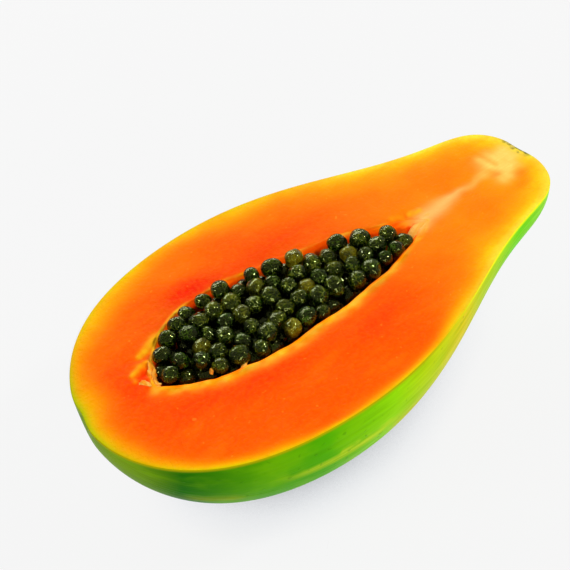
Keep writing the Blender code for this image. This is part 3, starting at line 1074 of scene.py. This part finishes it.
def pulp_finish(mottle):
    """Torn pulp and fibres: pale where the inner skin is, orange where the flesh shows."""
    material, tree, shader = new_finish("torn_pulp", Roughness=0.35)
    tame_gloss(shader, 0.15, (1.0, 0.6, 0.2, 1))
    where = place(tree, "ShaderNodeTexCoord").outputs["Object"]
    colour = ramp(
        tree,
        layer(tree, "pale"),
        ((0.0, on_face(254, 122, 4)), (0.5, on_face(255, 168, 40)), (1.0, on_face(255, 194, 90))),
    )
    lumps = mottling(tree, mottle, where, 700.0, 0.35, 0.65, 3.0)
    colour = cover(tree, share_of(tree, lumps, 0.20), colour, on_face(254, 130, 20))
    tree.links.new(colour, shader.inputs["Base Color"])
    tree.links.new(relief(tree, lumps, 0.00012), shader.inputs["Normal"])
    return material


def skin_finish(mottle, cork):
    """Smooth green skin with fine lengthwise streaks, dark at the blossom end and limier to the stem, partly its
    own colour and partly painted shade and light, and yellow where it ripens.
    """
    material, tree, shader = new_finish("green_skin", Roughness=0.36)
    tame_gloss(shader, 0.005, (0.6, 1.0, 0.2, 1))
    where = layer(tree, "skin_place", vector=True)
    share, turn, from_skin = layer(tree, "lengthwise"), layer(tree, "turn"), layer(tree, "from_skin")
    # Along the fruit: dark green at the blossom end, lime towards the stem; partly the skin's own colour, partly
    # painted shade and light
    colour = ramp(
        tree,
        share,
        (
            (0.00, on_side(112, 142, 2)),
            (0.06, on_side(18, 90, 0)),
            (0.16, on_side(76, 144, 0)),
            (0.28, on_side(74, 158, 0)),
            (0.42, on_side(136, 200, 0)),
            (0.62, on_side(206, 186, 2)),
            (0.84, on_side(100, 204, 6)),
            (1.00, on_side(160, 212, 60)),
        ),
    )
    streaks = mottling(tree, mottle, stretched(tree, where, (0.10, 1.0, 1.0)), 500.0, 0.35, 0.75, 4.0)
    colour = cover(tree, share_of(tree, streaks, 0.28), colour, on_side(54, 124, 0))
    clouds = mottling(tree, mottle, where, 70.0, 0.42, 0.70, 3.0)
    colour = cover(tree, share_of(tree, clouds, 0.26), colour, on_side(136, 190, 2))
    blush = mottling(tree, mottle, where, 28.0, 0.50, 0.72, 2.0)
    away = reckon(tree, "MULTIPLY", blush, fade(tree, from_skin, -34.0, -16.0, 1.0, 0.0))
    colour = cover(tree, share_of(tree, away, 0.8), colour, on_side(230, 176, 8))
    wave = fade(tree, clouds, 0.0, 1.0, -1.2, 1.2)
    bent_turn = reckon(tree, "ADD", turn, wave)
    near_line = fade(tree, bent_turn, -165.0, -162.0)
    near_line = reckon(tree, "MULTIPLY", near_line, fade(tree, bent_turn, -161.6, -157.5, 1.0, 0.0))
    near_line = reckon(tree, "MULTIPLY", near_line, fade(tree, share, 0.17, 0.29))
    near_line = reckon(tree, "MULTIPLY", near_line, fade(tree, share, 0.34, 0.52, 1.0, 0.0))
    near_line = reckon(tree, "MULTIPLY", near_line, fade(tree, streaks, 0.0, 1.0, 0.9, 0.35))
    colour = cover(tree, share_of(tree, near_line, 0.75), colour, on_side(190, 200, 30))
    flecks = mottling(tree, mottle, where, 380.0, 0.66, 0.76, 1.0)
    colour = cover(tree, share_of(tree, flecks, 0.35), colour, on_side(48, 104, 2))
    rind = cover(tree, fade(tree, share, 0.45, 0.75), on_side(158, 150, 2), on_side(226, 222, 20))
    colour = cover(tree, fade(tree, from_skin, -1.8, -0.2), colour, rind)
    colour = corky(tree, cork, colour, on_side(70, 78, 40), on_side(158, 146, 96))
    tree.links.new(colour, shader.inputs["Base Color"])
    normal = relief(tree, streaks, 0.00006)
    normal = relief(tree, flecks, -0.00005, normal)
    tree.links.new(normal, shader.inputs["Normal"])
    tree.links.new(fade(tree, streaks, 0.0, 1.0, 0.30, 0.42), shader.inputs["Roughness"])
    return material


def gel_finish(mottle):
    """Clear wet gel round each seed, faintly green, uneven enough to break up the lights on it."""
    material, tree, shader = new_finish(
        "seed_gel_clear", Base_Color=(0.90, 0.97, 0.50, 1), Roughness=0.03, IOR=1.46, Transmission_Weight=1.0
    )
    shader.inputs["Specular Tint"].default_value = (0.85, 1.0, 0.28, 1)
    where = place(tree, "ShaderNodeTexCoord").outputs["Object"]
    dimples = mottling(tree, mottle, where, 800.0, 0.3, 0.7, 1.0)
    tree.links.new(relief(tree, dimples, 0.00009), shader.inputs["Normal"])
    return material


def kernel_finish(mottle):
    """Wrinkled dark green kernel, with an olive net of ridges; some are olive all over."""
    material, tree, shader = new_finish("seed_kernel_dark", Roughness=0.30)
    tame_gloss(shader, 0.12, (0.8, 1.0, 0.4, 1))
    where = place(tree, "ShaderNodeTexCoord").outputs["Object"]
    tint, painted_lit = layer(tree, "seed_tint"), layer(tree, "seed_painted_lit")
    colour = ramp(
        tree,
        tint,
        (
            (0.00, linear(4, 20, 1)),
            (0.55, linear(20, 44, 1)),
            (0.80, linear(60, 74, 3)),
            (1.00, linear(150, 130, 8)),
        ),
    )
    bends = place(tree, "ShaderNodeTexNoise", Vector=where, Scale=500.0, Detail=2.0)
    bent = place(tree, "ShaderNodeVectorMath", {"operation": "MULTIPLY_ADD"})
    tree.links.new(bends.outputs["Color"], bent.inputs[0])
    bent.inputs[1].default_value = (0.0016, 0.0016, 0.0016)
    tree.links.new(where, bent.inputs[2])
    net = place(tree, "ShaderNodeTexVoronoi", {"feature": "DISTANCE_TO_EDGE"}, Scale=700.0)
    tree.links.new(bent.outputs["Vector"], net.inputs["Vector"])
    veins = fade(tree, net.outputs["Distance"], 0.00, 0.11, 1.0, 0.0)
    clouds = mottling(tree, mottle, where, 300.0, 0.40, 0.60, 3.0)
    net_colour = cover(tree, tint, linear(96, 150, 24), linear(204, 196, 56))
    shown = reckon(tree, "MULTIPLY", veins, fade(tree, clouds, 0.0, 1.0, 0.75, 0.08))
    colour = cover(tree, shown, colour, net_colour)
    colour = cover(tree, share_of(tree, clouds, 0.72), colour, linear(3, 10, 1))
    # Painted light: each kernel is painted lighter on the side that faces up and back, where the lamps' light falls
    lean = place(tree, "ShaderNodeVectorMath", {"operation": "DOT_PRODUCT"})
    tree.links.new(place(tree, "ShaderNodeNewGeometry").outputs["Normal"], lean.inputs[0])
    lean.inputs[1].default_value = PAINTED_LIGHT_DIRECTION
    painted_light = fade(tree, lean.outputs["Value"], 0.60, 0.98, 0.0, 0.20)
    colour = cover(tree, painted_light, colour, cover(tree, tint, linear(84, 140, 20), linear(196, 190, 50)))
    # Painted shade: kernels of seeds low in the heap turn near-black
    colour = cover(tree, painted_lit, linear(3, 7, 1), colour)
    tree.links.new(colour, shader.inputs["Base Color"])
    tree.links.new(relief(tree, veins, 0.00035), shader.inputs["Normal"])
    return material


def bed_finish(mottle):
    material, tree, shader = new_finish("pulp_bed_painted_shade", Roughness=0.4)
    tame_gloss(shader, 0.2, (0.8, 1.0, 0.6, 1))
    where = place(tree, "ShaderNodeTexCoord").outputs["Object"]
    clouds = mottling(tree, mottle, where, 300.0, 0.4, 0.65, 3.0)
    # Painted shade: near-black pulp for the shade under and between the seeds
    colour = cover(tree, clouds, linear(4, 7, 2), linear(18, 20, 6))
    tree.links.new(colour, shader.inputs["Base Color"])
    tree.links.new(relief(tree, clouds, 0.0004), shader.inputs["Normal"])
    return material


# Floor, light and camera

# Name, place, width, height and power of each soft lamp; all aim at the fruit
LAMPS = (
    ("right_softbox", (0.75, -0.45, 0.85), 0.18, 0.18, 7.5),
    ("back_strip", (0.22, 0.78, 0.46), 1.10, 0.30, 6.0),
    ("left_softbox", (-0.85, 0.25, 0.75), 0.25, 0.25, 3.0),
    ("front_fill", (-0.25, -0.85, 0.30), 0.50, 0.30, 3.2),
)
AIR_LIGHT = 0.36


def studio():
    floor_mesh = bpy.data.meshes.new("studio_floor")
    reach = 4.0
    floor_mesh.from_pydata(
        [(-reach, -reach, 0), (reach, -reach, 0), (reach, reach, 0), (-reach, reach, 0)], [], [(0, 1, 2, 3)]
    )
    floor = bpy.data.objects.new("studio_floor", floor_mesh)
    bpy.context.scene.collection.objects.link(floor)
    material, tree, shader = new_finish("studio_white", Roughness=0.9)
    shader.inputs["Base Color"].default_value = (0.04, 0.04, 0.04, 1)
    shader.inputs["Specular IOR Level"].default_value = 0.0
    shader.inputs["Emission Strength"].default_value = 1.0
    # Painted shadow: the floor's glow darkens where the fruit is near, by ambient occlusion
    open_air = place(tree, "ShaderNodeAmbientOcclusion", {"samples": 8}, Distance=0.028)
    painted_floor_shadow = ramp(
        tree,
        open_air.outputs["AO"],
        (
            (0.00, linear(60, 60, 66)),
            (0.16, linear(150, 151, 158)),
            (0.34, linear(223, 225, 229)),
            (0.60, linear(240, 240, 241)),
            (0.90, linear(241, 241, 241)),
        ),
    )
    tree.links.new(painted_floor_shadow, shader.inputs["Emission Color"])
    floor_mesh.materials.append(material)

    world = bpy.data.worlds.new("studio_air")
    bpy.context.scene.world = world
    world.use_nodes = True
    background = world.node_tree.nodes["Background"]
    background.inputs["Color"].default_value = (0.98, 0.98, 1.0, 1)
    background.inputs["Strength"].default_value = AIR_LIGHT

    for name, lamp_place, width, height, power in LAMPS:
        lamp = bpy.data.lights.new(name, "AREA")
        lamp.shape = "RECTANGLE"
        lamp.size = width
        lamp.size_y = height
        lamp.energy = power
        holder = bpy.data.objects.new(name, lamp)
        holder.location = lamp_place
        holder.rotation_euler = (-Vector(lamp_place)).to_track_quat("-Z", "Y").to_euler()
        bpy.context.scene.collection.objects.link(holder)
    bpy.context.scene.view_settings.view_transform = "Standard"


def camera():
    cos, sin = math.cos(REST_TIP), math.sin(REST_TIP)
    turn = np.array(((cos, 0, sin), (0, 1, 0), (-sin, 0, cos)))
    look = turn @ np.array(LOOK)
    look /= np.linalg.norm(look)
    right = np.cross(look, turn @ np.array(UP))
    right /= np.linalg.norm(right)
    up = np.cross(right, look)
    eye = turn @ np.array(EYE) + REST_PLACE
    data = bpy.data.cameras.new("camera")
    data.lens = LENS
    data.clip_start = 0.01
    holder = bpy.data.objects.new("camera", data)
    rows = [[right[k], up[k], -look[k], eye[k]] for k in range(3)]
    holder.matrix_world = Matrix(rows + [[0, 0, 0, 1]])
    bpy.context.scene.collection.objects.link(holder)
    bpy.context.scene.camera = holder


mottle = mottling_group()
cork = cork_group()
pulp = pulp_finish(mottle)
fruit_half(flesh_finish(mottle, cork), skin_finish(mottle, cork))
torn_pulp(pulp)
end_tongue(pulp)
seed_heap(gel_finish(mottle), kernel_finish(mottle), bed_finish(mottle))
studio()
camera()

bpy.context.view_layer.update()
